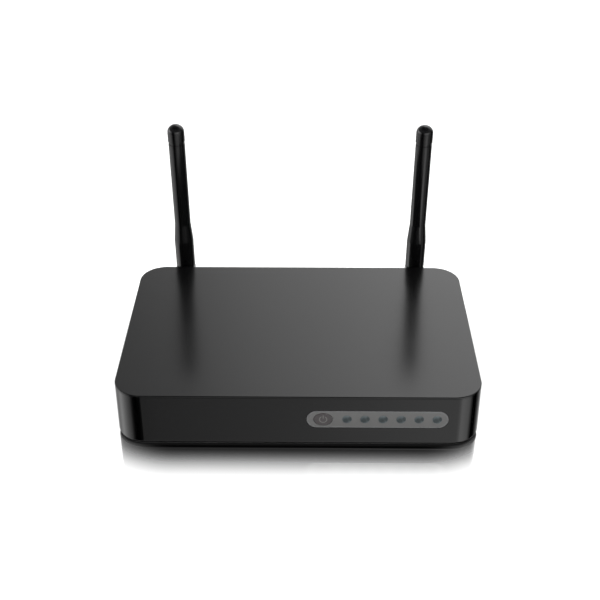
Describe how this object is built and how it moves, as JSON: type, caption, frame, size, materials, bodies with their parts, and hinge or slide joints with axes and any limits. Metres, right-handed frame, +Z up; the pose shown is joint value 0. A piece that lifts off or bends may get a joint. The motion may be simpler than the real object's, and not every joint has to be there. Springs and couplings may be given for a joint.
{
  "type": "optical network terminal",
  "caption": "Flat rounded network box with a matt top, gloss band, lamp window, rear sockets and folding whip antennas behind it.",
  "frame": {"origin": "on the desk, under the middle of the whole object with its antennas upright", "axes": "+Z up, +Y towards the rear sockets, +X to the right as seen from the front"},
  "size_m": [0.1908, 0.1473, 0.1199],
  "materials": {
    "cover_plastic": "fine-grained matt moulding",
    "band_plastic": "polished black moulding",
    "tray_plastic": "fine-grained black moulding",
    "window_plastic": "smooth grey plate",
    "lens_plastic": "tinted lens",
    "button_plastic": "smooth button",
    "foot_rubber": "matt rubber",
    "light_guide_plastic": "clear moulding",
    "lamp_chip": "white package",
    "board_laminate": "solder-masked laminate",
    "screw_steel": "zinc-plated",
    "sheet_steel": "tinned sheet",
    "sink_aluminium": "anodised",
    "chip_plastic": "moulded package",
    "pad_silicone": "soft pad",
    "capacitor_can": "sleeved can",
    "socket_plastic": "black moulding",
    "optical_plastic": "green moulding",
    "ceramic": "white ceramic",
    "contact_metal": "plated",
    "antenna_plastic": "satin black moulding",
    "radiator_brass": "drawn",
    "coax_jacket": "extruded jacket",
    "clip_steel": "spring steel",
    "reset_plastic": "pale moulding"
  },
  "bodies": {
    "root": {"antenna_left_coax": "coax_jacket", "antenna_right_coax": "coax_jacket", "board_screws": "screw_steel", "bottom_case": "tray_plastic", "button_switch": "chip_plastic", "case_screws": "screw_steel", "coax_connectors": "contact_metal", "crystal": "sheet_steel", "front_band": "band_plastic", "heat_sink": "sink_aluminium", "indicator_lenses": "lens_plastic", "lamp_window": "window_plastic", "lan_contacts": "contact_metal", "lan_jack_housing": "socket_plastic", "lan_jack_shield": "sheet_steel", "led_chips": "lamp_chip", "light_guide": "light_guide_plastic", "main_board": "board_laminate", "memory_chips": "chip_plastic", "network_transformers": "chip_plastic", "optical_module": "sheet_steel", "optical_sleeve": "ceramic", "optical_socket": "optical_plastic", "power_capacitors": "capacitor_can", "power_inductors": "chip_plastic", "power_jack": "socket_plastic", "power_jack_pin": "contact_metal", "power_switch_body": "socket_plastic", "processor_chip": "chip_plastic", "radio_chips": "chip_plastic", "radio_shield": "sheet_steel", "rear_panel": "tray_plastic", "reset_switch": "chip_plastic", "rubber_feet": "foot_rubber", "thermal_pad": "pad_silicone", "top_cover": "cover_plastic", "usb_contacts": "contact_metal", "usb_shell": "sheet_steel", "usb_tongue": "socket_plastic"},
    "left_elbow": {"antenna_left_elbow": "antenna_plastic", "antenna_left_clip": "clip_steel", "antenna_left_hinge_pin": "screw_steel"},
    "left_antenna": {"antenna_left_sheath": "antenna_plastic", "antenna_left_cap": "antenna_plastic", "antenna_left_radiator": "radiator_brass"},
    "right_elbow": {"antenna_right_elbow": "antenna_plastic", "antenna_right_clip": "clip_steel", "antenna_right_hinge_pin": "screw_steel"},
    "right_antenna": {"antenna_right_sheath": "antenna_plastic", "antenna_right_cap": "antenna_plastic", "antenna_right_radiator": "radiator_brass"},
    "front_button": {"power_button": "button_plastic", "button_plunger": "reset_plastic"},
    "switch_cap": {"power_switch_cap": "antenna_plastic"},
    "reset_pin": {"reset_plunger": "reset_plastic"}
  },
  "joints": [
    {"name": "left_swivel", "type": "hinge", "parent": "root", "child": "left_elbow", "pos_m": [-0.0707, 0.05738, 0.022], "axis": [0, 1, 0], "range_deg": [-90, 90]},
    {"name": "left_fold", "type": "hinge", "parent": "left_elbow", "child": "left_antenna", "pos_m": [-0.0707, 0.06788, 0.022], "axis": [-0.9999, 0, -0.0122], "range_deg": [0, 90]},
    {"name": "right_swivel", "type": "hinge", "parent": "root", "child": "right_elbow", "pos_m": [0.0707, 0.05738, 0.022], "axis": [0, 1, 0], "range_deg": [-90, 90]},
    {"name": "right_fold", "type": "hinge", "parent": "right_elbow", "child": "right_antenna", "pos_m": [0.0707, 0.06788, 0.022], "axis": [-0.9999, 0, 0.0122], "range_deg": [0, 90]},
    {"name": "power_button_press", "type": "slide", "parent": "root", "child": "front_button", "axis": [0, 1, 0], "range_m": [0, 0.0004], "stiffness_N_per_m": 600, "springref_m": -0.0004},
    {"name": "power_switch_press", "type": "slide", "parent": "root", "child": "switch_cap", "axis": [0, -1, 0], "range_m": [0, 0.0015], "stiffness_N_per_m": 400, "springref_m": -0.001},
    {"name": "reset_press", "type": "slide", "parent": "root", "child": "reset_pin", "axis": [0, -1, 0], "range_m": [0, 0.0003], "stiffness_N_per_m": 500, "springref_m": -0.0003}
  ]
}
